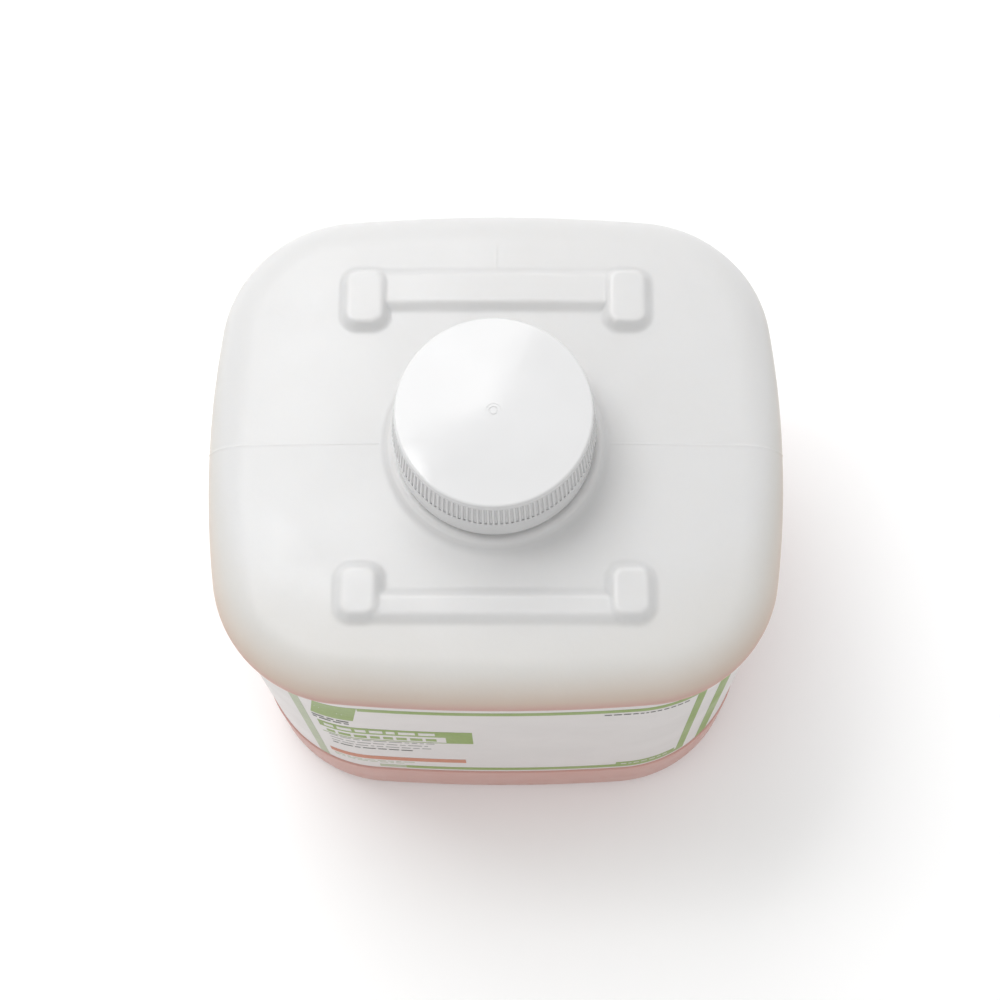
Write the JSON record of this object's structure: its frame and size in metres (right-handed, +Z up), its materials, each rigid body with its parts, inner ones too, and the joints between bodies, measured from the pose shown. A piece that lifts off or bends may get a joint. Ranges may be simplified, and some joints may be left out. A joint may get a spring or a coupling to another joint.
{
  "type": "detergent bottle",
  "caption": "Square translucent liquid detergent bottle with rounded shoulder, wrap-round label and a ribbed screw cap with a tamper-evident band.",
  "frame": {"origin": "on the ground, under the middle of the bottle's base", "axes": "+Z up along the neck's axis; -Y is the printed front; +X is to the right of the front"},
  "size_m": [0.1906, 0.1722, 0.212],
  "materials": {
    "natural_polyethylene": "blow-moulded natural polyethylene, satin, translucent",
    "liquid_detergent": "clear pink liquid",
    "printed_film": "white printed film label, satin",
    "white_polypropylene": "injection-moulded, glossy",
    "liner_foam": "foamed polyethylene"
  },
  "bodies": {
    "bottle": {"bottle_body": "natural_polyethylene", "detergent_fill": "liquid_detergent", "wrap_label": "printed_film"},
    "liner": {"cap_liner": "liner_foam"},
    "cap": {"screw_cap": "white_polypropylene"},
    "band": {"tamper_band": "white_polypropylene"}
  },
  "joints": [
    {"name": "cap_lift", "type": "slide", "parent": "bottle", "child": "liner", "axis": [0, 0, 1], "range_m": [0, 0.0185]},
    {"name": "cap_turn", "type": "hinge", "parent": "liner", "child": "cap", "pos_m": [0, 0, 0.204], "axis": [0, 0, 1], "range_deg": [0, 1080]},
    {"name": "band_spin", "type": "hinge", "parent": "bottle", "child": "band", "pos_m": [0, 0, 0.191], "axis": [0, 0, 1], "continuous": true}
  ],
  "couplings": [
    {"joint": "cap_lift", "follows": "cap_turn", "m_per_rad": 0.00095493}
  ]
}
